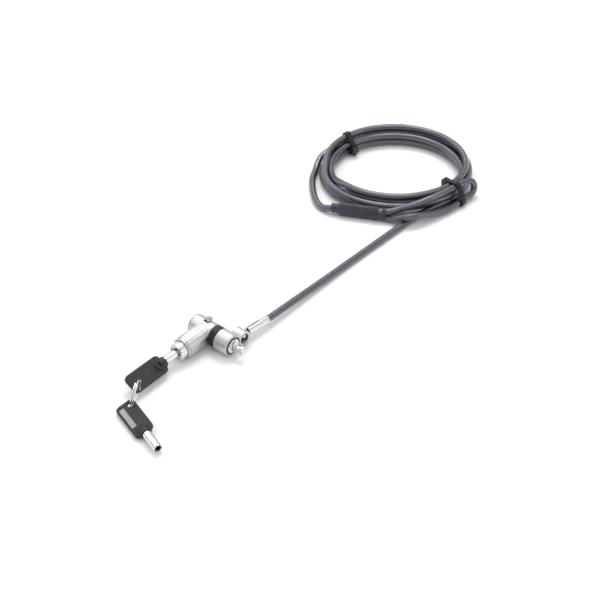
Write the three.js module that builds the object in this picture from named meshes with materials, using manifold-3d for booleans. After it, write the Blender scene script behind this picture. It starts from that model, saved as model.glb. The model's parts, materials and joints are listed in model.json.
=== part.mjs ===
// A laptop cable lock: a T-shaped push-to-lock head with a T-bar, a swivel collar that carries a
// coiled steel cable, and two tubular keys on a split ring. Millimetres, +Z up.
// Every piece is drawn in the lock frame: the origin is where the cross barrel's axis (X, towards
// the T-bar) meets the key barrel's axis (Y, the keys on the -Y side). The last lines move the
// whole object so that the lock and its keys stand centred on the surface at z = 0.
import * as THREE from 'three';
import { mergeVertices } from 'three/addons/utils/BufferGeometryUtils.js';
import Module from 'manifold-3d';

const wasm = await Module();
wasm.setup();

// ---- driving dimensions ----
const GAP = 0.3; // free space between neighbouring pieces
const BARREL_R = 8.3; // both barrels of the T
const FLOOR = -BARREL_R; // the surface that the lock lies on
const FAR_X = -12.2; // end cap's outer face
const BODY_X = 7.4; // where the cross barrel stops and the neck starts
const COLLAR = { x0: 13.0, x1: 25.2 }; // swivel collar along X
const NECK_R = 5.6; // the spigot that the ring and the collar sit on
const KEY_FRONT = -26.2; // front of the key barrel
const BORE_R = 6.95; // key barrel's bore
const BORE_END = -8.2; // its floor
const CYLINDER = { r: 6.7, front: -32.0, back: -13.0 }; // push-to-lock cylinder
const PLUG = { r: 4.75, front: -31.0, back: -18.0 };
const KEYWAY = { post: 2.1, r: 3.7, depth: 4.4 };
const SPINDLE_R = 3.0;
const HUB_R = 4.2;
const CAVITY_R = 4.6; // the room that the hub turns in
const TAB_LEAN = 22; // degrees that the thumb tab leans towards +Y at rest
const T_TURN = 90; // degrees that it turns
const LUG = { y: 12.1, z: -1.4, r: 5.8, bore: 4.0, x0: 16.6 }; // ear on the collar
const BALL_X = 20.7; // the cable's ball inside the ear
const BALL_R = 2.6;
const HEAD = { width: 14.6, length: 32.5, thick: 2.6, corner: 3.5 }; // key head
const HOLE = { x: 3.7, y: -28.6, r: 2.8 }; // its hole for the ring
const SHAFT = { r: 3.35, bore: 2.45, root: -1.9, length: 17.5 };
const KEY_Y = -45; // where key A's head starts
const KEY_TILT = 28; // degrees that key A's head is turned about the key barrel's axis
const RING = { r: 9.0, wire: 0.6, pitch: 1.35, turns: 1.9 };
const CABLE_R = 2.65;
const COIL = { x: -20.5, y: 244, outer: 61.5, inner: 50, rows: 10.9, lift: 1.5, squash: 0.87, turn: 40.7 };
const COIL_TOP = 17.3; // height of its uppermost turn, which lies off centre
const TIE = { width: 4.2, thick: 1.0, left: 132, right: -40 }; // angles round the coil
const deg = THREE.MathUtils.degToRad;

// The cable's free stretches, as points that its middle passes through, in the lock frame.
const LEAD = [
  [22.6, 39.9, -2.3], [22.6, 70, -3.6], [22.7, 103, -4.9], [23.2, 140, -5.6], [24.3, 175, -5.6],
  [25.3, 200, -5.6], [25.5, 212, -5.6],
];
const TAIL = [
  [-29.8, 172.5, -5.6], [-37, 171.2, -5.6], [-46, 175, -5.6], [-56.5, 183.5, -5.6], [-67, 195, -5.6],
  [-74, 208.3, -5.6],
];
const LOOP = [
  [11.8, 195.6, 0.5], [17.0, 202.2, 2.2], [23.4, 209.6, 4.4], [29.6, 221.3, 6.6], [32.7, 231.3, 7.2],
  [34.9, 242, 7.6], [36.1, 249, 7.6], [37.3, 256, 7.1], [39.2, 262.6, 5.4], [41.4, 266.4, 2.0],
  [42.6, 264.6, -2.0], [42.4, 258, -3.9], [41.6, 249, -4.1], [40.4, 234.3, -4.4], [37.7, 224.3, -3.4],
  [34.7, 214.8, -1.5], [31.2, 206.1, 0.3], [26.6, 199.2, 0.4], [19.5, 195.4, -2.3], [12.4, 193.9, -5.0],
];
const SLEEVE = { a: [-28.9, 173.0], b: [10.2, 194.2], z: -2.6 };

// ---- colours ----
const steel = { color: 0xc8c4be, roughness: 0.32, metalness: 1 };
const bright = { color: 0xd8d7d2, roughness: 0.2, metalness: 1 };
const cast = { color: 0xb9b5b1, roughness: 0.42, metalness: 0.9 };
const black = { color: 0x1b1b1d, roughness: 0.6, metalness: 0 };
const jacket = { color: 0x32323e, roughness: 0.3, metalness: 0 };
const grey = { color: 0x95979a, roughness: 0.7, metalness: 0 };

// ---- solids ----
// Makes a closed geometry of positions only, without faces of no area, wound so that it faces out.
function closed(geometry) {
  const bare = geometry.clone();
  bare.deleteAttribute('normal');
  bare.deleteAttribute('uv');
  const merged = mergeVertices(bare, 1e-4);
  const p = merged.getAttribute('position');
  const faces = [];
  const all = merged.index.array;
  for (let i = 0; i < all.length; i += 3) {
    const [a, b, c] = [all[i], all[i + 1], all[i + 2]];
    if (a !== b && b !== c && c !== a) faces.push([a, b, c]);
  }
  const at = (i) => new THREE.Vector3().fromBufferAttribute(p, i);
  const volume = faces.reduce((sum, [a, b, c]) => sum + at(a).dot(at(b).cross(at(c))), 0);
  merged.setIndex(faces.flatMap(([a, b, c]) => (volume < 0 ? [a, c, b] : [a, b, c])));
  return merged;
}

function solid(geometry) {
  const g = closed(geometry);
  const vertProperties = new Float32Array(g.getAttribute('position').array);
  const triVerts = new Uint32Array(g.index.array);
  return new wasm.Manifold(new wasm.Mesh({ numProp: 3, vertProperties, triVerts }));
}

function surface(manifold) {
  const mesh = manifold.getMesh();
  const g = new THREE.BufferGeometry();
  g.setAttribute('position', new THREE.BufferAttribute(mesh.vertProperties, 3));
  g.setIndex(new THREE.BufferAttribute(mesh.triVerts, 1));
  return g;
}

const join = (...parts) => surface(parts.map(solid).reduce((a, b) => a.add(b)));
const cut = (body, ...tools) => surface(tools.map(solid).reduce((a, b) => a.subtract(b), solid(body)));

// A turned piece from [radius, along] points, about Y, or about another axis by name.
function turned(profile, axis = 'y', sides = 32) {
  const points = profile.map(([r, t]) => new THREE.Vector2(r, t));
  const g = new THREE.LatheGeometry(points, sides);
  if (axis === 'x') g.rotateZ(-Math.PI / 2);
  if (axis === 'z') g.rotateX(Math.PI / 2);
  return closed(g);
}

const rod = (r, t0, t1, axis, sides) => turned([[0, t0], [r, t0], [r, t1], [0, t1]], axis, sides);
const pipe = (r0, r1, t0, t1, axis, sides) =>
  turned([[r0, t0], [r1, t0], [r1, t1], [r0, t1], [r0, t0]], axis, sides);

function block(x0, x1, y0, y1, z0, z1) {
  const g = new THREE.BoxGeometry(x1 - x0, y1 - y0, z1 - z0);
  return g.translate((x0 + x1) / 2, (y0 + y1) / 2, (z0 + z1) / 2);
}

// A wedge of a thick pipe about X, from one angle to another, measured from +Z towards +Y.
function wedge(r0, r1, x0, x1, from, to, sides = 14) {
  const shape = new THREE.Shape();
  const arc = (r, a) => new THREE.Vector2(r * Math.sin(deg(a)), r * Math.cos(deg(a)));
  const steps = Array.from({ length: sides + 1 }, (_, i) => from + ((to - from) * i) / sides);
  shape.setFromPoints([...steps.map((a) => arc(r1, a)), ...steps.reverse().map((a) => arc(r0, a))]);
  const g = new THREE.ExtrudeGeometry(shape, { depth: x1 - x0, bevelEnabled: false });
  const turn = new THREE.Matrix4().makeBasis(
    new THREE.Vector3(0, 1, 0), new THREE.Vector3(0, 0, 1), new THREE.Vector3(1, 0, 0));
  return g.applyMatrix4(turn).translate(x0, 0, 0);
}

// A tube of constant section along points.
function tube(points, radius, sides, steps) {
  const path = new THREE.CatmullRomCurve3(points.map((p) => new THREE.Vector3(...p)), false, 'centripetal');
  return sweep(path, radius, sides, steps);
}

function sweep(path, radius, sides, steps) {
  const section = new THREE.Shape();
  const corners = Array.from({ length: sides }, (_, i) => (2 * Math.PI * i) / sides);
  section.setFromPoints(corners.map((a) => new THREE.Vector2(radius * Math.cos(a), radius * Math.sin(a))));
  return closed(new THREE.ExtrudeGeometry(section, { steps, extrudePath: path, bevelEnabled: false }));
}

class Helix extends THREE.Curve {
  constructor(radius, pitch, turns) {
    super();
    Object.assign(this, { radius, pitch, turns });
  }

  getPoint(t, target = new THREE.Vector3()) {
    const a = 2 * Math.PI * this.turns * t;
    const along = this.pitch * this.turns * (t - 0.5);
    return target.set(this.radius * Math.cos(a), this.radius * Math.sin(a), along);
  }
}

function mesh(name, geometry, look) {
  const m = new THREE.Mesh(closed(geometry), new THREE.MeshStandardMaterial(look));
  m.name = name;
  return m;
}

// ---- lock head ----
function fluted(r, y0, y1, flutes = 28, depth = 0.28) {
  const shape = new THREE.Shape();
  const points = [];
  for (let i = 0; i < flutes * 2; i += 1) {
    const a = (Math.PI * (i + 0.5)) / flutes;
    const at = i % 2 ? r : r - depth;
    points.push(new THREE.Vector2(at * Math.cos(a), at * Math.sin(a)));
  }
  shape.setFromPoints(points);
  const g = new THREE.ExtrudeGeometry(shape, { depth: y1 - y0, bevelEnabled: false });
  return g.rotateX(-Math.PI / 2).translate(0, y0, 0);
}

function lockBody() {
  const cross = turned(
    [[0, FAR_X + 1.2], [BARREL_R - 0.5, FAR_X + 1.2], [BARREL_R, FAR_X + 1.7], [BARREL_R, BODY_X - 0.5],
      [BARREL_R - 0.5, BODY_X], [NECK_R, BODY_X], [NECK_R, 24.6], [0, 24.6]], 'x', 40);
  const barrel = join(
    turned([[0, KEY_FRONT], [7.8, KEY_FRONT], [8.15, KEY_FRONT + 0.4], [8.15, KEY_FRONT + 1.4],
      [7.5, KEY_FRONT + 1.5], [7.5, 0], [0, 0]], 'y', 40),
    fluted(8.15, KEY_FRONT + 2, -2));
  return cut(
    join(cross, cut(barrel, pipe(NECK_R - 1, 9.4, BODY_X, 14, 'x', 36))),
    rod(BORE_R, KEY_FRONT - 1, BORE_END, 'y', 32), // for the push cylinder
    rod(1.75, BORE_END - 1, -3, 'y', 12), // for the bolt
    rod(CAVITY_R, FAR_X, 4.9, 'x', 28), // for the spindle's hub
    rod(SPINDLE_R + GAP, 4, 26, 'x', 24), // for its shaft
    pipe(NECK_R - 0.7, 7, 21.6, 22.9, 'x', 28), // groove for the retaining ring
    wedge(3, 10, -2.9, 2.3, TAB_LEAN - 28, TAB_LEAN + T_TURN + 28), // thumb tab's slot
    rod(1.15, -10, -5, 'z', 12).translate(0, -21, 0), // for the retaining screw
    block(-1.45, 1.45, -18.2, -10.8, 5, 7.65), // the latch pin's groove
  );
}

const endCap = () => turned(
  [[0, FAR_X], [7.3, FAR_X], [7.8, FAR_X + 0.5], [7.8, FAR_X + 0.9], [4.3, FAR_X + 0.9], [4.3, FAR_X + 3.2],
    [0, FAR_X + 3.2]], 'x', 36);

function neckRing() {
  const band = turned(
    [[NECK_R + GAP, BODY_X + GAP], [7.9, BODY_X + GAP], [8.15, BODY_X + 0.7], [8.15, 12.2], [7.9, 12.7],
      [NECK_R + GAP, 12.7], [NECK_R + GAP, BODY_X + GAP]], 'x', 36);
  const notches = [0, 90, 180, 270].map((a) => block(9.3, 11.0, -1.6, 1.6, 7.6, 9).rotateX(deg(a + 40)));
  return cut(band, ...notches);
}

function swivelCollar() {
  const { x0, x1 } = COLLAR;
  const shell = turned(
    [[NECK_R + GAP, x0], [7.7, x0], [BARREL_R, x0 + 0.7], [BARREL_R, x1 - 0.8], [7.6, x1], [7.0, x1],
      [7.0, 21.4], [NECK_R + GAP, 21.4], [NECK_R + GAP, x0]], 'x', 40);
  const lug = rod(LUG.r, LUG.x0, x1, 'x', 30).translate(0, LUG.y, LUG.z);
  const ear = cut(lug, rod(7.4, x0 - 1, x1 + 1, 'x', 40));
  const slot = wedge(2.5, 8, BALL_X - 1.9, BALL_X + 1.9, 45, 135, 8).translate(0, LUG.y, LUG.z);
  return cut(
    join(shell, ear),
    rod(LUG.bore, LUG.x0 + 1.2, x1 + 1, 'x', 24).translate(0, LUG.y, LUG.z),
    slot);
}

const retainingRing = () => cut(pipe(NECK_R - 0.35, 6.7, 21.9, 22.6, 'x', 28), block(21, 24, -8, 0, -2.2, 2.2));

function tipSpindle() {
  const body = turned(
    [[0, -5.5], [HUB_R, -5.5], [HUB_R, 3.9], [SPINDLE_R, 4.6], [SPINDLE_R, 24.9], [5.3, 24.9], [5.5, 25.2],
      [5.5, 25.7], [5.2, 26.0], [0, 26.0]], 'x', 28);
  const notch = rod(1.75, -6, -0.9, 'y', 12);
  return cut(
    body,
    notch,
    notch.clone().rotateX(deg(90)),
    block(22.5, 27, -1.6, 1.6, -2.7, 2.7), // seat of the T-bar's root
    block(24.95, 27, -1.6, 1.6, -4.0, 4.0), // and of its blade
    rod(1.0, 1, 9, 'z', 12).rotateX(deg(-TAB_LEAN)).translate(-0.3, 0, 0), // tab screw's hole
    rod(0.75, -5, 5, 'y', 10).translate(24, 0, 0), // rivet's hole
  );
}

// The T-bar is a stamped plate: a blade in the spindle's face, a neck and the T-shaped head.
function tBar() {
  const half = [
    [22.8, 2.4], [25.2, 2.4], [25.2, 3.7], [27.6, 3.7], [28.3, 3.0], [28.3, 1.5], [32.0, 1.5], [32.3, 3.2],
    [34.4, 3.2], [34.8, 2.6],
  ];
  const shape = new THREE.Shape();
  const upper = half.map(([x, z]) => new THREE.Vector2(x, z));
  const lower = [...half].reverse().map(([x, z]) => new THREE.Vector2(x, -z));
  shape.setFromPoints([...upper, ...lower]);
  const g = new THREE.ExtrudeGeometry(shape, { depth: 2.6, bevelEnabled: false });
  return cut(g.rotateX(Math.PI / 2).translate(0, 1.3, 0), rod(0.75, -3, 3, 'y', 10).translate(24, 0, 0));
}

const tBarRivet = () => rod(0.55, -2.7, 2.7, 'y', 10).translate(24, 0, 0);

function thumbTab() {
  const tab = join(block(-2.2, 1.6, -1.9, 1.9, 4.5, 8.6), block(-1.9, 1.3, -1.6, 1.6, 8.2, 11.0));
  return cut(tab, rod(0.95, 4, 9.2, 'z', 12).translate(-0.3, 0, 0)).rotateX(deg(-TAB_LEAN));
}

const tabScrew = () => rod(0.6, 1.4, 8.8, 'z', 10).translate(-0.3, 0, 0).rotateX(deg(-TAB_LEAN));

// ---- key cylinder ----
function lockCylinder() {
  const { r, front, back } = CYLINDER;
  const shell = turned(
    [[0, front + 1.4], [5.05, front + 1.4], [5.05, front], [r - 0.45, front], [r, front + 0.45], [r, back],
      [0, back]], 'y', 36);
  const rimNotches = [0, 120, 240].map((a) => block(-0.8, 0.8, front - 1, front + 1.0, 4, 8).rotateY(deg(a + 35)));
  return cut(
    shell,
    rod(PLUG.r + GAP, front - 1, PLUG.back + GAP, 'y', 28),
    rod(1.9, PLUG.back - 1, -15.4, 'y', 14), // the plug's tail
    rod(1.4, -15.8, back + 1, 'y', 12), // the bolt's root
    block(-1.45, 1.45, -26.2, -19.2, -8, -5.75), // where the retaining screw slides
    rod(1.25, 5.3, 8, 'z', 12).translate(0, -16.5, 0), // the latch pin's hole
    ...rimNotches,
  );
}

const PINS = 7;
const pinAngle = (i) => (2 * Math.PI * (i + 0.5)) / PINS;

function keyPlug() {
  const { r, front, back } = PLUG;
  const floor = front + KEYWAY.depth;
  const holes = Array.from({ length: PINS }, (_, i) =>
    rod(0.68, floor - 0.5, back + 1, 'y', 8).translate(2.95 * Math.sin(pinAngle(i)), 0, 2.95 * Math.cos(pinAngle(i))));
  const body = join(rod(r, front, back, 'y', 28), rod(1.6, back - 1, -15.7, 'y', 14));
  return cut(
    body,
    pipe(KEYWAY.post, KEYWAY.r, front - 1, floor, 'y', 24),
    block(-0.95, 0.95, front - 1, floor, 3.0, 4.45), // room for the key's lug
    ...holes);
}

const keyPin = (i) => rod(0.42, PLUG.front + KEYWAY.depth + 0.4, PLUG.back - 0.6 - 0.5 * (i % 3), 'y', 8)
  .translate(2.95 * Math.sin(pinAngle(i)), 0, 2.95 * Math.cos(pinAngle(i)));

const lockingBolt = () => turned(
  [[0, -15.1], [1.1, -15.1], [1.1, -12.7], [1.45, -12.7], [1.45, -5.3], [1.0, -4.8], [0, -4.8]], 'y', 12);

const cylinderSpring = () => sweep(new Helix(2.9, 1.25, 3), 0.4, 6, 48)
  .rotateX(Math.PI / 2).translate(0, (BORE_END + CYLINDER.back) / 2, 0);

const latchPin = () => rod(1.0, 5.45, 6.6, 'z', 12).translate(0, -16.5, 0);

const retainingScrew = () => turned([[0, -7.9], [0.85, -7.9], [0.85, -6.1], [0.5, -6.0], [0, -6.0]], 'z', 12)
  .translate(0, -21, 0);

// ---- keys: drawn with the shaft along +Y, the head's width along X, its faces along Z ----
function keyHead() {
  const { width, length, thick, corner } = HEAD;
  const [w, c] = [width / 2, corner];
  const shape = new THREE.Shape();
  shape.moveTo(w, -length + c).lineTo(w, -c).absarc(w - c, -c, c, 0, Math.PI / 2);
  shape.lineTo(-w + c, 0).absarc(-w + c, -c, c, Math.PI / 2, Math.PI);
  shape.lineTo(-w, -length + c).absarc(-w + c, -length + c, c, Math.PI, 1.5 * Math.PI);
  shape.lineTo(w - c, -length).absarc(w - c, -length + c, c, 1.5 * Math.PI, 2 * Math.PI);
  const bevel = { bevelThickness: 0.4, bevelSize: 0.4, bevelOffset: -0.4, bevelSegments: 1 };
  const plate = new THREE.ExtrudeGeometry(shape, { depth: thick - 0.8, curveSegments: 5, ...bevel });
  const hub = turned([[0, -2.9], [3.6, -2.9], [4.4, -1.2], [4.4, 1.2], [3.6, 2.9], [0, 2.9]], 'z', 20);
  const dimple = rod(1.5, 2.3, 4, 'z', 14);
  return cut(
    join(plate.translate(0, 0, -thick / 2 + 0.4), hub.translate(0, -4.2, 0), rod(4.1, -4.5, 1.2, 'y', 20)),
    dimple.clone().translate(0, -4.2, 0),
    dimple.clone().rotateX(Math.PI).translate(0, -4.2, 0),
    rod(SHAFT.r + GAP - 0.05, SHAFT.root - GAP, 3, 'y', 24),
    rod(HOLE.r, -4, 4, 'z', 18).translate(HOLE.x, HOLE.y, 0),
    block(-5.9, -1.5, -28.9, -8.6, -2, -thick / 2 + 0.3), // label's recess
  );
}

const keyLabel = () => block(-5.6, -1.8, -28.6, -8.9, -HEAD.thick / 2 - 0.1, -HEAD.thick / 2 + 0.15);

function keyShaft() {
  const tip = SHAFT.length;
  const lug = block(-0.7, 0.7, tip - 1.9, tip - 0.4, 2.9, 4.15);
  const bits = Array.from({ length: PINS }, (_, i) =>
    block(-0.42, 0.42, tip - 0.5 - 0.35 * ((i * 3) % 4), tip + 1, 2.0, 4).rotateY(pinAngle(i)));
  return cut(join(pipe(SHAFT.bore, SHAFT.r, SHAFT.root, tip, 'y', 24), lug), ...bits);
}

const splitRing = () => sweep(new Helix(RING.r, RING.pitch, RING.turns), RING.wire, 8, 80);

// ---- cable and what is on it ----
// The ball turns in the collar's ear, and its shank is crimped in the ferrule.
function cableBall() {
  const ball = turned([[0, -BALL_R], ...Array.from({ length: 9 }, (_, i) => {
    const a = deg(-70 + 17.5 * i);
    return [BALL_R * Math.cos(a), BALL_R * Math.sin(a)];
  }), [0, BALL_R]], 'y', 20);
  return join(ball, rod(1.3, 1, 12.2, 'y', 14));
}

function ferrule() {
  const body = turned(
    [[1.75, 7.4], [3.0, 7.4], [3.4, 7.9], [3.4, 26.6], [3.2, 27.2], [2.2, 27.2], [2.2, 12.6], [1.75, 12.6],
      [1.75, 7.4]], 'y', 24);
  return cut(
    body,
    block(-0.35, 0.45, 6.5, 30, 0, 5), // seam of the crimp
    block(-5, 0.1, 19.6, 30, 1.0, 5), // open half of its throat
  );
}

function cableCoil() {
  const [r0, r1, high, c] = [COIL.inner, COIL.outer, COIL.rows, 2.6];
  const rows = turned(
    [[r0 + c, 0], [r1 - c, 0], [r1, c], [r1, high - c], [r1 - c, high], [r0 + c, high], [r0, high - c],
      [r0, c], [r0 + c, 0]], 'z', 64);
  const upper = new THREE.TorusGeometry((r0 + r1) / 2, CABLE_R, 10, 64);
  upper.translate(0, 3.0, COIL_TOP - COIL.lift - CABLE_R);
  const ring = join(rows, upper);
  return ring.scale(1, COIL.squash, 1).rotateZ(deg(COIL.turn)).translate(COIL.x, COIL.y, FLOOR + COIL.lift);
}

// An oval-section sleeve along X from 0 to its length, joined from its two necks and its body.
function loopSleeve() {
  const [ax, ay] = SLEEVE.a;
  const [bx, by] = SLEEVE.b;
  const length = Math.hypot(bx - ax, by - ay);
  const oval = (t0, t1, high, wide) => rod(1, t0, t1, 'x', 20).scale(1, wide, high);
  const body = join(
    oval(0, 7, 4.2, 3.7),
    oval(6, length - 5.5, 5.6, 4.2),
    oval(length - 6, length - 3.5, 4.9, 3.9),
    oval(length - 4, length, 5.6, 4.2),
    block(8, length - 8, -1.0, 1.0, 5.0, 5.75));
  return body.rotateZ(Math.atan2(by - ay, bx - ax)).translate(ax, ay, SLEEVE.z);
}

// A strap about a bundle, drawn with the bundle's outward side along X: a band with a round-cornered
// outline, and its head on the inner side at a height.
function cableTie({ x0, x1, z0, z1, corner, headZ }) {
  const outline = (Kind, grow) => {
    const [l, r, b, t, c] = [x0 - grow, x1 + grow, z0 - grow, z1 + grow, corner + grow];
    const path = new Kind().moveTo(r, b + c).lineTo(r, t - c).absarc(r - c, t - c, c, 0, Math.PI / 2);
    path.lineTo(l + c, t).absarc(l + c, t - c, c, Math.PI / 2, Math.PI);
    path.lineTo(l, b + c).absarc(l + c, b + c, c, Math.PI, 1.5 * Math.PI);
    return path.lineTo(r - c, b).absarc(r - c, b + c, c, 1.5 * Math.PI, 2 * Math.PI);
  };
  const shape = outline(THREE.Shape, TIE.thick);
  shape.holes.push(outline(THREE.Path, 0));
  const band = new THREE.ExtrudeGeometry(shape, { depth: TIE.width, bevelEnabled: false, curveSegments: 5 });
  band.translate(0, 0, -TIE.width / 2).rotateX(Math.PI / 2);
  const head = block(x0 - 4.4, x0 - 0.2, -2.9, 2.9, headZ - 2.6, headZ + 2.6);
  const tail = block(x0 - 3.0, x0 - 1.7, -1.5, 1.5, headZ - 4.8, headZ + 1);
  return join(band, head, tail);
}

// A place on the coil's middle line, at an angle round it, turned to face outwards.
function onCoil(piece, angle) {
  const [a, middle] = [deg(angle), (COIL.outer + COIL.inner) / 2];
  const spot = new THREE.Vector3(middle * Math.cos(a), middle * Math.sin(a) * COIL.squash, 0);
  const outward = Math.atan2(Math.sin(a), Math.cos(a) * COIL.squash) + deg(COIL.turn);
  spot.applyAxisAngle(new THREE.Vector3(0, 0, 1), deg(COIL.turn));
  piece.position.set(COIL.x + spot.x, COIL.y + spot.y, FLOOR);
  piece.rotation.z = outward;
  return piece;
}

// ---- assembly ----
function lockGroup() {
  const g = new THREE.Group();
  g.add(
    mesh('lock_body', lockBody(), cast),
    mesh('end_cap', endCap(), cast),
    mesh('neck_ring', neckRing(), black),
    mesh('swivel_collar', swivelCollar(), cast),
    mesh('retaining_ring', retainingRing(), steel),
    mesh('tip_spindle', tipSpindle(), steel),
    mesh('t_bar', tBar(), bright),
    mesh('t_bar_rivet', tBarRivet(), steel),
    mesh('thumb_tab', thumbTab(), cast),
    mesh('tab_screw', tabScrew(), steel),
    mesh('lock_cylinder', lockCylinder(), bright),
    mesh('key_plug', keyPlug(), steel),
    mesh('locking_bolt', lockingBolt(), steel),
    mesh('cylinder_spring', cylinderSpring(), steel),
    mesh('latch_pin', latchPin(), steel),
    mesh('retaining_screw', retainingScrew(), steel),
  );
  for (let i = 0; i < PINS; i += 1) g.add(mesh(`key_pin_${i + 1}`, keyPin(i), steel));
  return g;
}

function keyGroup(letter) {
  const g = new THREE.Group();
  g.add(
    mesh(`key_head_${letter}`, keyHead(), black),
    mesh(`key_shaft_${letter}`, keyShaft(), bright),
    mesh(`key_label_${letter}`, keyLabel(), grey),
  );
  return g;
}

// Key A sits in the lock. The ring stands on the surface through its hole, and key B hangs from
// the ring with its near edge on the surface.
function keysGroup() {
  const g = new THREE.Group();
  const keyA = keyGroup('a');
  const tilt = deg(KEY_TILT);
  keyA.position.set(0, KEY_Y, 0);
  keyA.rotation.y = tilt;
  keyA.children[1].rotation.y = -tilt; // the shaft's lug stays in line with the plug's room for it

  const holeA = new THREE.Vector3(HOLE.x * Math.cos(tilt), KEY_Y + HOLE.y, -HOLE.x * Math.sin(tilt));
  const out = new THREE.Vector3(0.54, -0.77, 0.34).normalize(); // from key A's hole to the ring's middle
  const across = new THREE.Vector3(-0.03, 0.38, 0.93); // the wire's way through the hole
  across.addScaledVector(out, -across.dot(out)).normalize();
  const normal = new THREE.Vector3().crossVectors(out, across);
  const ringMiddle = holeA.clone().addScaledVector(out, RING.r);
  const ring = mesh('key_ring', splitRing(), bright);
  ring.applyMatrix4(new THREE.Matrix4().makeBasis(out, across, normal).setPosition(ringMiddle));

  const down = deg(46); // how far round the ring key B hangs
  const holeB = ringMiddle.clone().addScaledVector(out, RING.r * Math.cos(down))
    .addScaledVector(across, -RING.r * Math.sin(down));
  const along = new THREE.Vector3(0.953, -0.303, 0); // key B's shaft
  const lean = deg(20);
  const downFace = new THREE.Vector3(0.303 * Math.sin(lean), 0.953 * Math.sin(lean), -Math.cos(lean));
  const width = new THREE.Vector3().crossVectors(along, downFace);
  const turn = new THREE.Matrix4().makeBasis(width, along, downFace);
  const hole = new THREE.Vector3(HOLE.x + 0.3, HOLE.y + 0.5, 0).applyMatrix4(turn); // the wire is off centre
  const keyB = keyGroup('b');
  keyB.applyMatrix4(turn.setPosition(holeB.sub(hole)));
  g.add(keyA, ring, keyB);
  return g;
}

function cableGroup() {
  const g = new THREE.Group();
  const pitch = deg(-1.9); // the cable slopes down to the surface
  const end = new THREE.Group();
  end.add(mesh('cable_ball', cableBall(), steel), mesh('ferrule', ferrule(), bright));
  end.position.set(BALL_X, LUG.y, LUG.z);
  end.rotation.set(pitch, 0, deg(-3.9));
  const sleeve = mesh('loop_sleeve', loopSleeve(), jacket);
  const width = (COIL.outer - COIL.inner) / 2 + GAP;
  const span = { x0: -width, z0: COIL.lift - GAP, z1: COIL_TOP + GAP, corner: 3.0 };
  const tieLeft = mesh('cable_tie_left', cableTie({ ...span, x1: width, headZ: 5.8 }), black);
  const tieRight = mesh('cable_tie_right', cableTie({ ...span, x1: 13.4, z1: 18.8, headZ: 14.4 }), black);
  g.add(
    end,
    onCoil(tieLeft, TIE.left),
    onCoil(tieRight, TIE.right),
    mesh('cable_lead', tube(LEAD, CABLE_R, 8, 18), jacket),
    mesh('cable_coil', cableCoil(), jacket),
    mesh('cable_tail', tube(TAIL, CABLE_R, 8, 8), jacket),
    mesh('cable_loop', tube(LOOP, CABLE_R, 8, 26), jacket),
    sleeve,
  );
  return g;
}

const lock = lockGroup();
const keys = keysGroup();
const cable = cableGroup();
const object = new THREE.Group();
object.add(lock, keys, cable);

// The origin is under the middle of the lock and its keys, on the surface.
object.updateMatrixWorld(true);
const box = new THREE.Box3().setFromObject(lock, true).union(new THREE.Box3().setFromObject(keys, true));
const middle = box.getCenter(new THREE.Vector3());
object.position.set(-middle.x, -middle.y, -box.min.z);

export default object;
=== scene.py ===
"""A laptop cable lock: its looks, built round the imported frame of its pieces."""

import json
import math

import bmesh
import bpy
import numpy
from bpy.props import FloatProperty, FloatVectorProperty, IntProperty, PointerProperty
from mathutils import Matrix, Vector

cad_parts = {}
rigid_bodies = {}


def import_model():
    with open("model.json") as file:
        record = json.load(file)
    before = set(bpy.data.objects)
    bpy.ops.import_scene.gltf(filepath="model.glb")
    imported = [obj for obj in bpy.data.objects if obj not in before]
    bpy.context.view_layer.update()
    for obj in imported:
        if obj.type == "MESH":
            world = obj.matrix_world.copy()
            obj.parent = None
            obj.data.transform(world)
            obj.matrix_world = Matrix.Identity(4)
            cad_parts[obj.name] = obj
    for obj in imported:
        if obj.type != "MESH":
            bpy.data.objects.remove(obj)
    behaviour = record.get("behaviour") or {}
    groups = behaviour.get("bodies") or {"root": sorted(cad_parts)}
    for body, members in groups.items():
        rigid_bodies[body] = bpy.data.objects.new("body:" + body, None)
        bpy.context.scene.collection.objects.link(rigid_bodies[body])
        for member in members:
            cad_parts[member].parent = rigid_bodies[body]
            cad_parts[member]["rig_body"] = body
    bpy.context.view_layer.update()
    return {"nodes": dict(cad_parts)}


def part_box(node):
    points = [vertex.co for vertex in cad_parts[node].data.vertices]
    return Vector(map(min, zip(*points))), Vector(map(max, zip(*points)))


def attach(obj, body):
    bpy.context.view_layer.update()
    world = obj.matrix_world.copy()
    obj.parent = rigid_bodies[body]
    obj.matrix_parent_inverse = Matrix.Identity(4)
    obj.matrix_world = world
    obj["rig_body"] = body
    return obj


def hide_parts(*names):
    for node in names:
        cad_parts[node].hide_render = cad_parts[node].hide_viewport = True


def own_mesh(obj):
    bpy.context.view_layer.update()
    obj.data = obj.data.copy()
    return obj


bl_info = {
    "name": "Laptop Cable Lock",
    "version": (1, 0, 0),
    "blender": (4, 5, 0),
    "location": "View3D > Sidebar > Cable Lock",
    "description": "Builds the lock head, its cable and its two keys round their frame",
    "category": "Add Mesh",
}

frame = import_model()
MM = 0.001


def middle(node):
    """The middle of a node's box, in the row frame."""
    low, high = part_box(node)
    return (low + high) / 2


# The lock's own frame: the key barrel's axis runs along Y and the cross barrel's along X.
ORIGIN = Vector((middle("lock_cylinder").x, middle("neck_ring").y, middle("neck_ring").z))
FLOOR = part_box("lock_body")[0].z - ORIGIN.z


def spot(x, y, z):
    """A point of the lock's own frame, given in millimetres."""
    return ORIGIN + Vector((x, y, z)) * MM


# ---- sizes and colours that a user may change ----
def length(name, text, millimetres):
    """A length property, from its default in millimetres."""
    return FloatProperty(name=name, description=text, default=millimetres * MM, unit="LENGTH", precision=5)


def colour(name, text, rgb):
    """A colour property, from its default as linear red, green and blue."""
    return FloatVectorProperty(name=name, description=text, default=rgb, size=3, min=0, max=1, subtype="COLOR")


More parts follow.
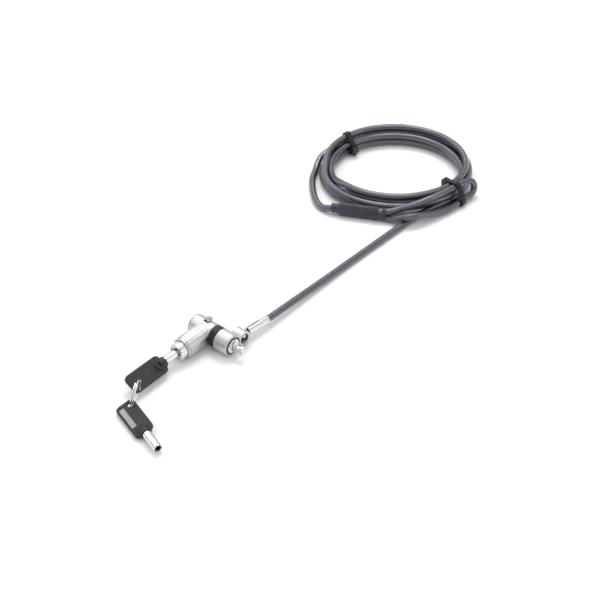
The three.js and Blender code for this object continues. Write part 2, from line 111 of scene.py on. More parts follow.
class CableSizes(bpy.types.PropertyGroup):
    diameter: length("Diameter", "Outside diameter of the jacketed steel cable", 5.3)
    lay: length("Rope lay", "Length of cable in which a strand goes once round", 17.0)
    strands: IntProperty(name="Strands", description="Strands seen round the rope", default=8, min=3, max=24)
    strap_width: length("Tie width", "Width of a cable tie's strap", 4.2)
    strap_thick: length("Tie thickness", "Thickness of a cable tie's strap", 1.0)


class KeySizes(bpy.types.PropertyGroup):
    ring_radius: length("Ring radius", "Radius of the split ring at the middle of its wire", 9.0)
    wire_radius: length("Wire radius", "Radius of the split ring's wire", 0.6)
    wire_pitch: length("Wire pitch", "Distance between the split ring's two turns", 1.35)
    edge: length("Head edge", "Width of the rounded edge on a key's head", 0.5)


class Colours(bpy.types.PropertyGroup):
    cast: colour("Die-cast metal", "Satin silver of the barrels and the collar", (0.60, 0.59, 0.575))
    nickel: colour("Nickel", "Bright plating of keys, ferrule and bezel", (0.76, 0.75, 0.73))
    jacket: colour("Cable strands", "Strands seen through the cable's smoky jacket", (0.19, 0.19, 0.245))
    # Painted shade: the near-black colour put in the gaps between the strands stands for the shade that falls in them.
    painted_groove_shade: colour("Cable grooves", "Gaps between the strands", (0.004, 0.004, 0.007))
    sleeve: colour("Loop sleeve", "Moulded sleeve where the loop closes", (0.034, 0.036, 0.052))
    black: colour("Black plastic", "Key heads, ties and the neck ring", (0.022, 0.022, 0.023))
    label: colour("Key label", "Plain label on each key's head", (0.33, 0.335, 0.345))
    floor: colour("Floor", "Studio floor", (0.93, 0.93, 0.93))


# ---- materials ----
def shader(name, base, metallic, roughness, **sockets):
    """A Principled material with plain values on its own sockets."""
    material = bpy.data.materials.new(name)
    material.use_nodes = True
    bsdf = material.node_tree.nodes["Principled BSDF"]
    bsdf.inputs["Base Color"].default_value = (*base, 1)
    bsdf.inputs["Metallic"].default_value = metallic
    bsdf.inputs["Roughness"].default_value = roughness
    for socket, value in sockets.items():
        bsdf.inputs[socket.replace("_", " ")].default_value = value
    material.diffuse_color = (*base, 1)
    return material


def add(material, kind, **values):
    """A new shader node with some of its settings."""
    node = material.node_tree.nodes.new("ShaderNode" + kind)
    for name, value in values.items():
        setattr(node, name, value)
    return node


def wire(material, source, target):
    """Links two shader sockets."""
    material.node_tree.links.new(source, target)


def noise(material, scale, detail):
    """Noise on object coordinates, with that many cells to the metre."""
    place = add(material, "TexCoord")
    texture = add(material, "TexNoise")
    texture.inputs["Scale"].default_value = scale
    texture.inputs["Detail"].default_value = detail
    wire(material, place.outputs["Object"], texture.inputs["Vector"])
    return texture.outputs["Fac"]


def roughen(material, height, depth, strength):
    """Small relief from a height pattern."""
    bump = add(material, "Bump")
    bump.inputs["Strength"].default_value = strength
    bump.inputs["Distance"].default_value = depth
    wire(material, height, bump.inputs["Height"])
    wire(material, bump.outputs["Normal"], material.node_tree.nodes["Principled BSDF"].inputs["Normal"])


PATTERN_LOW, PATTERN_HIGH = 0.3, 0.7  # the part of a noise pattern's range that is used


def spread(material, pattern, socket, low, high):
    """Ties a 0 to 1 pattern to a number or colour socket between two values."""
    bsdf = material.node_tree.nodes["Principled BSDF"]
    if socket == "Base Color":
        ramp = add(material, "ValToRGB")
        ramp.color_ramp.elements[0].position = PATTERN_LOW
        ramp.color_ramp.elements[1].position = PATTERN_HIGH
        ramp.color_ramp.elements[0].color = (*low, 1)
        ramp.color_ramp.elements[1].color = (*high, 1)
        wire(material, pattern, ramp.inputs["Fac"])
        wire(material, ramp.outputs["Color"], bsdf.inputs[socket])
        return
    bounds = add(material, "MapRange")
    bounds.inputs["From Min"].default_value = PATTERN_LOW
    bounds.inputs["From Max"].default_value = PATTERN_HIGH
    bounds.inputs["To Min"].default_value = low
    bounds.inputs["To Max"].default_value = high
    wire(material, pattern, bounds.inputs["Value"])
    wire(material, bounds.outputs["Result"], bsdf.inputs[socket])


def tinted(rgb, factor):
    """A colour made darker or lighter."""
    return tuple(min(1.0, c * factor) for c in rgb)


def metal_finish(name, rgb, roughness, grain, depth):
    """Metal with a fine grain and slight clouding."""
    material = shader(name, rgb, metallic=1.0, roughness=roughness)
    spread(material, noise(material, scale=260, detail=3), "Base Color", tinted(rgb, 0.93), tinted(rgb, 1.05))
    spread(material, noise(material, scale=420, detail=3), "Roughness", roughness * 0.85, roughness * 1.2)
    roughen(material, noise(material, grain, detail=2), depth, strength=0.35)
    return material


def moulded_finish(name, rgb, roughness, grain, depth):
    """Moulded plastic with a fine sparked texture."""
    material = shader(name, rgb, metallic=0.0, roughness=roughness, Specular_IOR_Level=0.4)
    spread(material, noise(material, scale=300, detail=2), "Base Color", tinted(rgb, 0.85), tinted(rgb, 1.2))
    roughen(material, noise(material, grain, detail=3), depth, strength=0.5)
    return material


WIRES_PER_STRAND, WIRE_TWIST = 5, 3  # the fine wires, counted and laid against their strand
WIRE_SHARE = 0.18  # how much the wires add to the strands' relief
# Painted shade: below this height on a strand its colour is darkened towards the grooves; above it the crest brightens
# to the full strand colour as a painted highlight.
STRAND_SHADE = (0.62, 0.16)  # height on a strand up to which it stays dark, and the tint there
ROPE_RELIEF = 0.35 * MM


def rope_finish(name, colours, sizes):
    """Twisted dark steel strands under a clear glossy jacket, on the cable's own UV map, with painted shade on the
    strands' sides and in the grooves between them, so that only the crests keep the full strand colour as a painted
    highlight.
    """
    material = shader(
        name, colours.jacket, metallic=0.9, roughness=0.24, Coat_Weight=1.0, Coat_Roughness=0.09, Coat_IOR=1.55)
    uv = add(material, "UVMap", uv_map="rope")
    parts = add(material, "SeparateXYZ")
    wire(material, uv.outputs["UV"], parts.inputs["Vector"])

    def ridges(around, along):
        """Round ridges, so many round the cable and so many to the metre."""
        turns = add(material, "Math", operation="MULTIPLY")
        turns.inputs[1].default_value = around * math.pi
        run = add(material, "Math", operation="MULTIPLY_ADD")
        run.inputs[1].default_value = along * math.pi
        sine = add(material, "Math", operation="SINE")
        size = add(material, "Math", operation="ABSOLUTE")
        wire(material, parts.outputs["X"], turns.inputs[0])
        wire(material, parts.outputs["Y"], run.inputs[0])
        wire(material, turns.outputs[0], run.inputs[2])
        wire(material, run.outputs[0], sine.inputs[0])
        wire(material, sine.outputs[0], size.inputs[0])
        return size.outputs[0]

    strand = ridges(sizes.strands, sizes.strands / sizes.lay)
    wires = ridges(sizes.strands * WIRES_PER_STRAND, -sizes.strands * WIRE_TWIST / sizes.lay)
    # Colour by height on a strand: painted shade in the grooves and on the strands' sides, full strand colour only on
    # the crests as a painted highlight.
    ramp = add(material, "ValToRGB")
    ramp.color_ramp.elements[0].color = (*colours.painted_groove_shade, 1)
    ramp.color_ramp.elements[1].color = (*colours.jacket, 1)
    height, shade = STRAND_SHADE
    ramp.color_ramp.elements.new(height).color = (*tinted(colours.jacket, shade), 1)
    both = add(material, "Math", operation="MULTIPLY_ADD")
    both.inputs[1].default_value = WIRE_SHARE
    wire(material, wires, both.inputs[0])
    wire(material, strand, both.inputs[2])
    wire(material, strand, ramp.inputs["Fac"])
    wire(material, ramp.outputs["Color"], material.node_tree.nodes["Principled BSDF"].inputs["Base Color"])
    roughen(material, both.outputs[0], ROPE_RELIEF, strength=0.55)
    return material


FINISHES = {}  # a material for each of the record's slots


def make_finishes(scene):
    """Makes every slot's material from the scene's colours."""
    look = scene.lock_colours
    FINISHES.update(
        cast_metal=metal_finish("Satin die-cast metal", look.cast, 0.40, 5200, 0.04 * MM),
        bright_metal=metal_finish("Bright nickel", look.nickel, 0.18, 3000, 0.01 * MM),
        steel=metal_finish("Machined steel", tinted(look.nickel, 0.85), 0.28, 4200, 0.02 * MM),
        dark_steel=metal_finish("Blackened steel", tinted(look.nickel, 0.1), 0.35, 4200, 0.02 * MM),
        black_rubber=moulded_finish("Black ring", tinted(look.black, 0.6), 0.38, 3000, 0.03 * MM),
        key_plastic=moulded_finish("Key plastic", look.black, 0.48, 3600, 0.06 * MM),
        key_label=moulded_finish("Key label", look.label, 0.55, 2600, 0.03 * MM),
        cable_jacket=rope_finish("Jacketed steel rope", look, scene.cable_sizes),
        sleeve_plastic=moulded_finish("Sleeve plastic", look.sleeve, 0.36, 3000, 0.03 * MM),
        tie_nylon=moulded_finish("Tie nylon", tinted(look.black, 0.4), 0.30, 2500, 0.02 * MM),
    )


# ---- making pieces ----
BEVEL_FROM = math.radians(38)  # edges sharper than this are rounded
MERGE, FLAT = 0.002 * MM, math.radians(0.6)  # points closer and faces flatter than this are joined


def finish_piece(bm, name, slot, body, nodes, smooth=35, bevel=0.0, segments=2, recalc=True):
    """Turns a bmesh in the row frame into a finished piece on its body."""
    if recalc:
        bmesh.ops.recalc_face_normals(bm, faces=bm.faces)
    mesh = bpy.data.meshes.new(name)
    bm.to_mesh(mesh)
    bm.free()
    mesh.shade_smooth()
    mesh.set_sharp_from_angle(angle=math.radians(smooth))
    piece = bpy.data.objects.new(name, mesh)
    bpy.context.scene.collection.objects.link(piece)
    mesh.materials.append(FINISHES[slot])
    if bevel:
        edge = piece.modifiers.new("Edges", "BEVEL")
        edge.width = bevel * MM
        edge.segments = segments
        edge.limit_method = "ANGLE"
        edge.angle_limit = BEVEL_FROM
        edge.harden_normals = True
    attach(piece, body)
    for node in nodes:
        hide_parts(node)
    return piece


def body_of(node):
    """The body that a node rides."""
    return frame["nodes"][node]["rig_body"]


def machined(node, name, slot, bevel, smooth=35, segments=2):
    """The node's solid, merged, with its edges rounded."""
    bm = bmesh.new()
    bm.from_mesh(frame["nodes"][node].data)
    bmesh.ops.remove_doubles(bm, verts=bm.verts, dist=MERGE)
    bmesh.ops.dissolve_limit(bm, angle_limit=FLAT, verts=bm.verts, edges=bm.edges)
    return finish_piece(bm, name, slot, body_of(node), [node], smooth, bevel, segments, recalc=False)


def smooth_path(points, step):
    """A curve through the points, in short steps."""
    ends = [points[0] * 2 - points[1], *points, points[-1] * 2 - points[-2]]
    path = []
    for a, b, c, d in zip(ends, ends[1:], ends[2:], ends[3:]):
        parts = max(1, round((c - b).length / step))
        for i in range(parts):
            t = i / parts
            path.append(
                b + (c - a) * (t / 2) + (a * 2 - b * 5 + c * 4 - d) * (t * t / 2)
                + (b * 3 - a - c * 3 + d) * (t * t * t / 2)
            )
    return [*path, points[-1]]


def swept(path, radius, sides):
    """A round tube along a path, with a UV map whose U goes round and whose V is metres along."""
    bm = bmesh.new()
    along = bm.verts.layers.float.new("along")
    around = bm.verts.layers.float.new("around")
    uv = bm.loops.layers.uv.new("rope")
    heading = (path[1] - path[0]).normalized()
    place = Matrix.Translation(path[0]) @ heading.to_track_quat("Z", "Y").to_matrix().to_4x4()
    start = bmesh.ops.create_circle(bm, cap_ends=True, segments=sides, radius=radius, matrix=place)
    for i, v in enumerate(start["verts"]):
        v[around] = i / sides
    ring = bm.edges[:]
    done = 0.0
    for i in range(1, len(path)):
        ahead = path[min(i + 1, len(path) - 1)] - path[i - 1]
        turn = heading.rotation_difference(ahead).to_matrix().to_4x4()
        step = Matrix.Translation(path[i]) @ turn @ Matrix.Translation(-path[i - 1])
        heading = ahead.normalized()
        done += (path[i] - path[i - 1]).length
        grown = bmesh.ops.extrude_edge_only(bm, edges=ring)["geom"]
        verts = [g for g in grown if isinstance(g, bmesh.types.BMVert)]
        ring = [g for g in grown if isinstance(g, bmesh.types.BMEdge)]
        ring = [e for e in ring if all(v in verts for v in e.verts)]
        bmesh.ops.transform(bm, matrix=step, verts=verts)
        for v in verts:
            v[along] = done
    bmesh.ops.contextual_create(bm, geom=ring)
    for face in bm.faces:
        wraps = max(v[around] for v in face.verts) > 0.75  # the face that closes the circle
        for loop in face.loops:
            u = loop.vert[around]
            loop[uv].uv = (1.0 if wraps and u < 0.25 else u, loop.vert[along])
    return bm


# ---- the cable ----
# Places are in the lock's own frame and in millimetres, and angles go round the coil in degrees.
COIL_MIDDLE = Vector((-20.5, 244, 0))
COIL_RADIUS = 55.75
COIL_SQUASH = 0.87
COIL_TURN = math.radians(40.7)
COIL_START, COIL_LEAVES = -58, 142
COIL_STEP = 10
COIL_TURNS = 5
LIFT = 1.25  # how far the ties' straps hold the coil off the floor
TIE_LEFT, TIE_RIGHT = 132, -40
SIDE, ROW = 2.82, 5.36  # half the distance between two turns side by side, and the height of one row
TOP_SHIFT = 2.7  # how far the top turn lies off the middle of the bundle
CHANGES = ((184, 3), (206, 2), (220, 1), (232, 0))  # the angle at which the cable is half way out of a slot
CHANGE_SPAN = 32  # the angle that going over to the next slot takes
COIL_EXIT = ((152, 5.0, 9.0), (162, 7.9, 7.2))  # angle, sideways and height on the way down to the tail
CABLE_SIDES = 16
MAIN_STEP, LOOP_STEP = 1.8 * MM, 1.2 * MM  # along the cable, between the tube's sections

LEAD = (
    (21.9, 31, -2.0), (22.6, 39.9, -2.3), (22.6, 70, -3.6), (22.7, 103, -4.9), (23.2, 140, -5.6),
    (24.3, 175, -5.6), (25.2, 197, -5.6), (26.2, 211, -5.5),
)
TAIL = (
    (-72.6, 205.2, -4.9), (-67, 195, -5.6), (-56.5, 183.5, -5.6), (-46, 175, -5.6), (-37, 171.5, -5.3),
    (-29.8, 172.4, -3.4), (-24, 175.6, -2.6),
)
LOOP = (
    (4.5, 190.2, -0.2), (11.8, 195.6, 0.5), (17.0, 202.2, 2.2), (23.4, 209.6, 4.4), (29.6, 221.3, 6.6),
    (32.7, 231.3, 7.2), (34.9, 242, 7.4), (36.1, 249, 7.4), (38.0, 258.6, 7.3), (39.2, 262.1, 6.6),
    (40.4, 264.6, 4.5), (41.4, 265.5, 1.6), (42.1, 264.6, -1.3), (42.5, 262.1, -3.4), (42.5, 258.6, -4.1),
    (41.6, 249, -4.1), (40.4, 234.3, -4.4), (37.7, 224.3, -3.4), (34.7, 214.8, -1.5), (31.2, 206.1, 0.2),
    (26.6, 199.2, 0.3), (19.5, 195.6, -2.3), (12.4, 193.9, -4.9), (5.0, 190.4, -5.0),
)


def coil_place(angle, sideways, height):
    """A point round the coil, at an angle, in the lock's own frame in millimetres."""
    a, r = math.radians(angle), COIL_RADIUS + sideways
    flat = Matrix.Rotation(COIL_TURN, 3, "Z") @ Vector((r * math.cos(a), r * math.sin(a) * COIL_SQUASH, 0))
    return COIL_MIDDLE + flat + Vector((0, 0, height))


def wave(angle, base, swing):
    """A distance that swings about its base as the angle goes round."""
    return base + swing * math.sin(math.radians(angle))


def slots(angle, radius):
    """Where the five turns lie in the bundle's section, each as how far outwards and how high.

    They are outer low, inner low, inner high, top and outer high: tight at the ties and looser between them.
    """
    loose = math.sin(math.radians(angle - TIE_LEFT)) ** 2
    wide = (
        SIDE + loose * wave(2 * angle + 40, 0.55, 0.35),
        -SIDE - loose * wave(2 * angle + 150, 0.45, 0.40),
        -SIDE - loose * wave(3 * angle, 0.70, 0.50),
        wave(angle, 0, TOP_SHIFT),
        SIDE + loose * wave(2 * angle + 250, 0.75, 0.50),
    )
    floor = LIFT + radius / MM
    top = max(math.sqrt(max(ROW**2 - (wide[3] - w) ** 2, 0)) for w in (wide[2], wide[4]))
    heights = (0, 0, ROW, ROW + top, ROW)
    return [(w, floor + h) for w, h in zip(wide, heights)]


def coil_run(radius):
    """The coil's turns as points, changing slots one after another on the near side."""
    centres = {slot: centre for centre, slot in CHANGES}
    points = []
    for angle in range(COIL_START, COIL_LEAVES + (COIL_TURNS - 1) * 360 + 1, COIL_STEP):
        slot, past = divmod(angle - COIL_START, 360)
        here = past + COIL_START
        section = slots(here, radius)
        sideways, height = section[slot]
        if slot in centres:
            t = min(max((here - centres[slot]) / CHANGE_SPAN + 0.5, 0), 1)
            t = t * t * (3 - 2 * t)
            to_side, to_height = section[slot + 1]
            sideways += (to_side - sideways) * t
            height += (to_height - height) * t
        points.append(coil_place(here, sideways, height))
    points += [coil_place(*place) for place in COIL_EXIT]
    return [p + Vector((0, 0, FLOOR / MM)) for p in points]


class LOCK_OT_cable(bpy.types.Operator):
    """Lay the cable: from the ferrule along the floor, round its coil and into the sleeve, and the anchor loop"""

    bl_idname = "cable_lock.cable"
    bl_label = "Cable and loop"

    def execute(self, context):
        sizes = context.scene.cable_sizes
        radius = sizes.diameter / 2
        main = [Vector(p) for p in LEAD] + coil_run(radius) + [Vector(p) for p in TAIL]
        main = smooth_path([spot(*p) for p in main], MAIN_STEP)
        cable = finish_piece(
            swept(main, radius, CABLE_SIDES), "cable", "cable_jacket", "cable",
            ["cable_lead", "cable_coil", "cable_tail"], smooth=60)
        loop = smooth_path([spot(*p) for p in LOOP], LOOP_STEP)
        anchor = finish_piece(
            swept(loop, radius, CABLE_SIDES), "anchor_loop", "cable_jacket", "cable", ["cable_loop"], smooth=60)
        return {"FINISHED"}


# ---- what is on the cable ----
SLEEVE_A, SLEEVE_B, SLEEVE_Z = Vector((-28.9, 173.0, 0)), Vector((10.2, 194.2, 0)), -2.6
# The sleeve's sections, as millimetres along it, half its width and half its height.
SLEEVE_NECK = (
    (0, 2.9, 3.2), (0.5, 3.4, 3.8), (2.6, 3.5, 3.9), (3.0, 3.1, 3.5), (4.2, 3.1, 3.5), (4.6, 3.5, 4.0), (7.2, 3.6, 4.1),
)
SLEEVE_BODY = (
    (6.6, 3.7, 4.9), (7.4, 4.25, 5.45), (37.6, 4.25, 5.45), (38.4, 3.8, 5.0), (40.2, 3.8, 5.0), (40.8, 4.25, 5.45),
    (43.4, 4.25, 5.45), (44.1, 3.8, 5.0),
)
RIDGE = {"x": 4.35, "half": (0.35, 0.45), "z": (9, 36)}  # the moulding ridge along each side of the sleeve
TIE_SLACK = 0.12  # between a strap and the cable
TIE_HEAD_LEFT, TIE_HEAD_RIGHT = 6.4, 14.6  # heights of the ties' heads
# Opposite corners of a tie's head, of its cut tail and of the tail's first tooth, from the strap's inner side.
TIE_HEAD = (-4.3, -2.7, -2.9), (-0.1, 2.7, 2.9)
TIE_TAIL = (-3.2, -5.2, -1.6), (-1.9, 3.1, 1.6)
TIE_TOOTH = (-3.5, -4.9, -1.1), (-3.1, -4.6, 1.1)
TEETH, TOOTH_PITCH = 3, 0.7
LOOP_AT_TIE = ((4.0, 15.8), (9.9, 4.25))  # the loop's two strands in the right tie's section


def sleeve_frame():
    """The sleeve's own frame, with Z along it and Y up."""
    along = (SLEEVE_B - SLEEVE_A).normalized()
    across = Vector((0, 0, 1)).cross(along)
    start = spot(SLEEVE_A.x, SLEEVE_A.y, SLEEVE_Z)
    turn = Matrix((across, Vector((0, 0, 1)), along)).transposed().to_4x4()
    return Matrix.Translation(start) @ turn


def lofted(bm, sections, sides, place):
    """A closed form through round or faceted sections, drawn along Z."""
    at, wide, high = (v * MM for v in sections[0])
    half_side = Matrix.Rotation(math.pi / sides, 4, "Z")
    made = bmesh.ops.create_circle(bm, cap_ends=True, segments=sides, radius=1.0 / math.cos(math.pi / sides))
    verts = made["verts"]
    bmesh.ops.transform(bm, matrix=Matrix.Diagonal((wide, high, 1, 1)) @ half_side, verts=verts)
    bmesh.ops.translate(bm, vec=(0, 0, at), verts=verts)
    every = list(verts)
    ring = list({e for v in verts for e in v.link_edges})
    for section in sections[1:]:
        to, broad, tall = (v * MM for v in section)
        grown = bmesh.ops.extrude_edge_only(bm, edges=ring)["geom"]
        verts = [g for g in grown if isinstance(g, bmesh.types.BMVert)]
        ring = [g for g in grown if isinstance(g, bmesh.types.BMEdge) and all(v in verts for v in g.verts)]
        bmesh.ops.transform(bm, matrix=Matrix.Diagonal((broad / wide, tall / high, 1, 1)), verts=verts)
        bmesh.ops.translate(bm, vec=(0, 0, to - at), verts=verts)
        at, wide, high = to, broad, tall
        every += verts
    bmesh.ops.contextual_create(bm, geom=ring)
    bmesh.ops.transform(bm, matrix=place, verts=every)


def slab(bm, low, high, place):
    """A box between two corners, in millimetres, set in place."""
    low, high = Vector(low) * MM, Vector(high) * MM
    size = Matrix.Diagonal((*(high - low), 1))
    bmesh.ops.create_cube(bm, size=1, matrix=place @ Matrix.Translation((low + high) / 2) @ size)


def hull_line(centres, radius, corners=56):
    """The line of a strap drawn tight round circles, as points in their plane."""
    line = []
    for i in range(corners):
        a = 2 * math.pi * i / corners
        out = Vector((math.cos(a), math.sin(a)))
        line.append(max(centres, key=lambda c: c.dot(out)) + out * radius)
    return line


def inner_side(line, level):
    """How far in the strap's line lies at one height."""
    crossings = []
    for a, b in zip(line, line[1:] + line[:1]):
        if (a.y - level) * (b.y - level) < 0:
            crossings.append(a.x + (b.x - a.x) * (level - a.y) / (b.y - a.y))
    return min(crossings)


def tie_place(angle):
    """A tie's own frame on the coil: X outwards, Y up and Z along the cable."""
    a = math.radians(angle)
    outward = math.atan2(math.sin(a), math.cos(a) * COIL_SQUASH) + COIL_TURN
    out = Vector((math.cos(outward), math.sin(outward), 0))
    up = Vector((0, 0, 1))
    turn = Matrix((out, up, out.cross(up))).transposed().to_4x4()
    ground = coil_place(angle, 0, 0)
    return Matrix.Translation(spot(ground.x, ground.y, FLOOR / MM)) @ turn


def cable_tie(name, node, angle, extra, head_height, sizes):
    """A strap drawn tight round the bundle, with its head on the inner side and its cut tail through it."""
    radius = sizes.diameter / 2
    bundle = [Vector((w, h)) for w, h in slots(angle, radius)] + [Vector(e) for e in extra]
    line = hull_line(bundle, radius / MM + TIE_SLACK)
    bm = bmesh.new()
    place = tie_place(angle)
    half = sizes.strap_width / 2
    verts = [bm.verts.new(Vector((p.x * MM, p.y * MM, -half))) for p in line]
    loop = [bm.edges.new((a, b)) for a, b in zip(verts, verts[1:] + verts[:1])]
    grown = bmesh.ops.extrude_edge_only(bm, edges=loop)["geom"]
    upper = [g for g in grown if isinstance(g, bmesh.types.BMVert)]
    bmesh.ops.translate(bm, vec=(0, 0, 2 * half), verts=upper)
    bmesh.ops.recalc_face_normals(bm, faces=bm.faces)
    bmesh.ops.solidify(bm, geom=bm.faces[:], thickness=-sizes.strap_thick)
    bmesh.ops.transform(bm, matrix=place, verts=bm.verts)
    head = place @ Matrix.Translation(Vector((inner_side(line, head_height), head_height, 0)) * MM)
    slab(bm, *TIE_HEAD, head)
    slab(bm, *TIE_TAIL, head)
    for i in range(TEETH):
        slab(bm, *TIE_TOOTH, head @ Matrix.Translation((0, i * TOOTH_PITCH * MM, 0)))
    return finish_piece(bm, name, "tie_nylon", "cable", [node], bevel=0.22)


class LOCK_OT_cable_fittings(bpy.types.Operator):
    """Put the ball, the ferrule, the loop's sleeve and the two ties on the cable"""

    bl_idname = "cable_lock.cable_fittings"
    bl_label = "Ferrule, sleeve and ties"

    def execute(self, context):
        sizes = context.scene.cable_sizes
        machined("cable_ball", "ball_end", "dark_steel", 0.0, smooth=60)
        ferrule = machined("ferrule", "crimped_ferrule", "bright_metal", 0.16)
        bm = bmesh.new()
        place = sleeve_frame()
        lofted(bm, SLEEVE_NECK, 16, place)
        lofted(bm, SLEEVE_BODY, 8, place)
        (half_x, half_y), (start, end) = RIDGE["half"], RIDGE["z"]
        for x in (-RIDGE["x"], RIDGE["x"]):
            slab(bm, (x - half_x, -half_y, start), (x + half_x, half_y, end), place)
        sleeve = finish_piece(bm, "crimp_sleeve", "sleeve_plastic", "cable", ["loop_sleeve"], bevel=0.35)
        left = cable_tie("tie_left", "cable_tie_left", TIE_LEFT, (), TIE_HEAD_LEFT, sizes)
        right = cable_tie("tie_right", "cable_tie_right", TIE_RIGHT, LOOP_AT_TIE, TIE_HEAD_RIGHT, sizes)
        return {"FINISHED"}


class LOCK_OT_head(bpy.types.Operator):
    """Finish the barrels, the neck ring, the swivel collar, the T-bar and the thumb tab"""

    bl_idname = "cable_lock.head"
    bl_label = "Lock head"

    def execute(self, context):
        machined("lock_body", "barrels", "cast_metal", 0.12, smooth=28)
        machined("end_cap", "barrel_cap", "cast_metal", 0.12)
        machined("neck_ring", "black_neck_ring", "black_rubber", 0.15)
        machined("swivel_collar", "collar", "cast_metal", 0.18)
        machined("tip_spindle", "spindle", "bright_metal", 0.1)
        machined("t_bar", "stamped_t_bar", "bright_metal", 0.22)
        machined("thumb_tab", "tab", "cast_metal", 0.25)
        for node in ("retaining_ring", "t_bar_rivet", "tab_screw", "retaining_screw", "cylinder_spring"):
            inner(node, "steel")
        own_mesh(frame["nodes"]["cylinder_spring"])
        return {"FINISHED"}


def inner(node, slot):
    """A small piece inside the lock, left as it is, in its own metal."""
    solid = frame["nodes"][node]
    solid.data.materials.clear()
    solid.data.materials.append(FINISHES[slot])


class LOCK_OT_cylinder(bpy.types.Operator):
    """Finish the push-to-lock cylinder, its plug and its pins"""

    bl_idname = "cable_lock.cylinder"
    bl_label = "Key cylinder"

    def execute(self, context):
        machined("lock_cylinder", "push_cylinder", "bright_metal", 0.2)
        machined("key_plug", "plug", "steel", 0.08)
        for node in ("locking_bolt", "latch_pin", *(f"key_pin_{i}" for i in range(1, 8))):
            inner(node, "steel")
        return {"FINISHED"}


# ---- the keys ----
RING_TURNS, RING_STEPS = 1.9, 150
RING_SIDES = 12


def split_ring(sizes):
    """The points of one wire wound nearly twice round, where the frame's ring is."""
    centre = middle("key_ring")
    normal = ring_normal()
    start = Vector((0, 0, 1)) - normal * normal.z
    start.normalize()
    side = normal.cross(start)
    path = []
    for i in range(RING_STEPS + 1):
        t = i / RING_STEPS
        a = 2 * math.pi * RING_TURNS * t
        lift = sizes.wire_pitch * RING_TURNS * (t - 0.5)
        path.append(centre + (start * math.cos(a) + side * math.sin(a)) * sizes.ring_radius + normal * lift)
    return path


def ring_normal():
    """The split ring's axis, as the direction in which its solid is thinnest."""
    points = numpy.array([v.co for v in frame["nodes"]["key_ring"].data.vertices])
    axes = numpy.linalg.eigh(numpy.cov((points - points.mean(0)).T))[1]
    return Vector(axes[:, 0]).normalized()


class LOCK_OT_keys(bpy.types.Operator):
    """Finish both tubular keys and wind the split ring"""

    bl_idname = "cable_lock.keys"
    bl_label = "Keys and ring"

    def execute(self, context):
        sizes = context.scene.key_sizes
        for letter in "ab":
            machined(f"key_head_{letter}", f"head_{letter}", "key_plastic", sizes.edge / MM, segments=3)
            machined(f"key_shaft_{letter}", f"shaft_{letter}", "bright_metal", 0.08)
            machined(f"key_label_{letter}", f"label_{letter}", "key_label", 0.08)
        wire_path = split_ring(sizes)
        ring = swept(wire_path, sizes.wire_radius, RING_SIDES)
        finish_piece(ring, "split_ring", "bright_metal", "ring", ["key_ring"], smooth=60)
        return {"FINISHED"}


# ---- stage ----
VIEW_AZIMUTH, VIEW_ELEVATION = math.radians(40.71), math.radians(39.93)
VIEW_DISTANCE = 1.2
AIM_RIGHT, AIM_UP = 66.44, 21.85  # where the camera aims, in millimetres from the lock's axes across its view
LENS, SENSOR = 100.8, 36
CLIP = (0.05, 20)
FLOOR_SIZE, FLOOR_DROP = 6, 0.02 * MM
SKY = ((0.0, 0.10), (0.30, 0.90), (0.65, 0.72), (1.0, 1.0))  # grey of the surroundings from level to straight up
LIT_PLACE = ORIGIN + Vector((0.02, 0.12, 0))  # what the lamps point at
LAMPS = (
    ("Top softbox", 6.5, (1.7, 1.7), (-0.65, 0.45, 1.25)),
    ("Highlight strip", 4.0, (0.45, 0.14), (-0.35, 0.6, 1.1)),
    ("Left softbox", 1.6, (0.30, 1.2), (-1.1, -0.2, 0.6)),
    ("Right softbox", 1.2, (0.25, 1.0), (1.0, 0.5, 0.45)),
)


def area_light(name, energy, size, place):
    """A soft lamp, in watts and metres, that points at the object."""
    data = bpy.data.lights.new(name, "AREA")
    data.energy = energy
    data.shape = "RECTANGLE"
    data.size, data.size_y = size
    light = bpy.data.objects.new(name, data)
    light.location = place
    light.rotation_euler = (Vector(place) - LIT_PLACE).to_track_quat("Z", "Y").to_euler()
    bpy.context.scene.collection.objects.link(light)


def surroundings():
    """A grey world that changes with height."""
    world = bpy.data.worlds.new("Studio")
    world.use_nodes = True
    nodes, links = world.node_tree.nodes, world.node_tree.links
    place = nodes.new("ShaderNodeTexCoord")
    parts = nodes.new("ShaderNodeSeparateXYZ")
    ramp = nodes.new("ShaderNodeValToRGB")
    stops = ramp.color_ramp.elements
    for position, _ in SKY[1:-1]:
        stops.new(position)
    for stop, (_, grey) in zip(stops, SKY):
        stop.color = (grey, grey, grey, 1)
    links.new(place.outputs["Generated"], parts.inputs["Vector"])
    links.new(parts.outputs["Z"], ramp.inputs["Fac"])
    links.new(ramp.outputs["Color"], nodes["Background"].inputs["Color"])
    return world


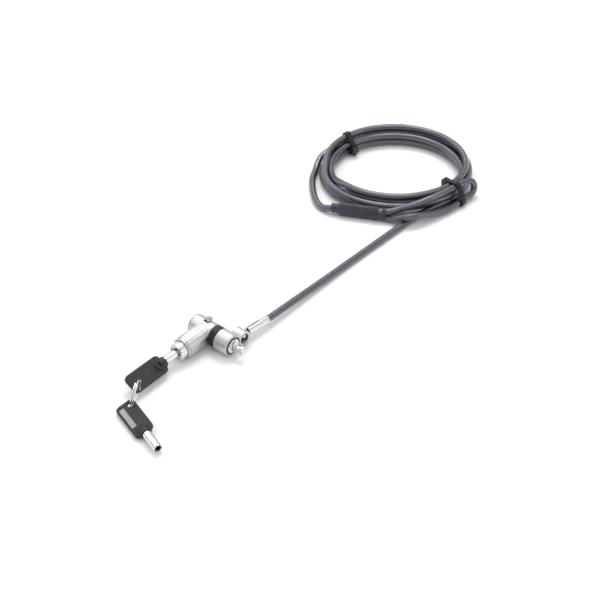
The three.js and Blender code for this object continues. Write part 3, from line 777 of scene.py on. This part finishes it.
class LOCK_OT_stage(bpy.types.Operator):
    """Set the camera, the pale floor and the soft lights"""

    bl_idname = "cable_lock.stage"
    bl_label = "Camera, floor and light"

    def execute(self, context):
        scene = context.scene
        a, e = VIEW_AZIMUTH, VIEW_ELEVATION
        right = Vector((math.cos(a), math.sin(a), 0))
        toward = Vector((math.sin(a) * math.cos(e), -math.cos(a) * math.cos(e), math.sin(e)))
        up = toward.cross(right)
        aim = ORIGIN + (right * AIM_RIGHT + up * AIM_UP) * MM
        data = bpy.data.cameras.new("Camera")
        data.lens = LENS
        data.sensor_width = SENSOR
        data.clip_start, data.clip_end = CLIP
        camera = bpy.data.objects.new("Camera", data)
        turn = Matrix((right, up, toward)).transposed().to_4x4()
        camera.matrix_world = Matrix.Translation(aim + toward * VIEW_DISTANCE) @ turn
        scene.collection.objects.link(camera)
        scene.camera = camera

        bm = bmesh.new()
        bmesh.ops.create_grid(bm, x_segments=1, y_segments=1, size=FLOOR_SIZE)
        bmesh.ops.translate(bm, vec=(0, 0, ORIGIN.z + FLOOR - FLOOR_DROP), verts=bm.verts)
        mesh = bpy.data.meshes.new("Floor")
        bm.to_mesh(mesh)
        bm.free()
        floor = bpy.data.objects.new("Floor", mesh)
        mesh.materials.append(shader("Studio floor", scene.lock_colours.floor, metallic=0.0, roughness=0.9))
        scene.collection.objects.link(floor)

        scene.world = surroundings()
        for lamp in LAMPS:
            area_light(*lamp)
        scene.view_settings.view_transform = "Standard"
        scene.view_settings.exposure = 0.0
        return {"FINISHED"}


class LOCK_PT_panel(bpy.types.Panel):
    """Lists the pieces of the cable lock"""

    bl_idname = "LOCK_PT_panel"
    bl_label = "Cable Lock"
    bl_space_type = "VIEW_3D"
    bl_region_type = "UI"
    bl_category = "Cable Lock"

    def draw(self, context):
        layout = self.layout
        for group in (context.scene.cable_sizes, context.scene.key_sizes, context.scene.lock_colours):
            box = layout.box()
            for name in group.__annotations__:
                box.prop(group, name)
        for operator in OPERATORS:
            layout.operator(operator.bl_idname)


OPERATORS = (
    LOCK_OT_stage, LOCK_OT_cable, LOCK_OT_cable_fittings, LOCK_OT_head, LOCK_OT_cylinder, LOCK_OT_keys,
)
GROUPS = (CableSizes, KeySizes, Colours)


def register():
    for item in (*GROUPS, *OPERATORS, LOCK_PT_panel):
        bpy.utils.register_class(item)
    bpy.types.Scene.cable_sizes = PointerProperty(type=CableSizes)
    bpy.types.Scene.key_sizes = PointerProperty(type=KeySizes)
    bpy.types.Scene.lock_colours = PointerProperty(type=Colours)


def unregister():
    for name in ("lock_colours", "key_sizes", "cable_sizes"):
        delattr(bpy.types.Scene, name)
    for item in (LOCK_PT_panel, *reversed(OPERATORS), *reversed(GROUPS)):
        bpy.utils.unregister_class(item)


def main():
    """Builds everything."""
    register()
    make_finishes(bpy.context.scene)
    for operator in OPERATORS:
        group, name = operator.bl_idname.split(".")
        getattr(getattr(bpy.ops, group), name)()
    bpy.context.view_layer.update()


if __name__ == "__main__":
    main()
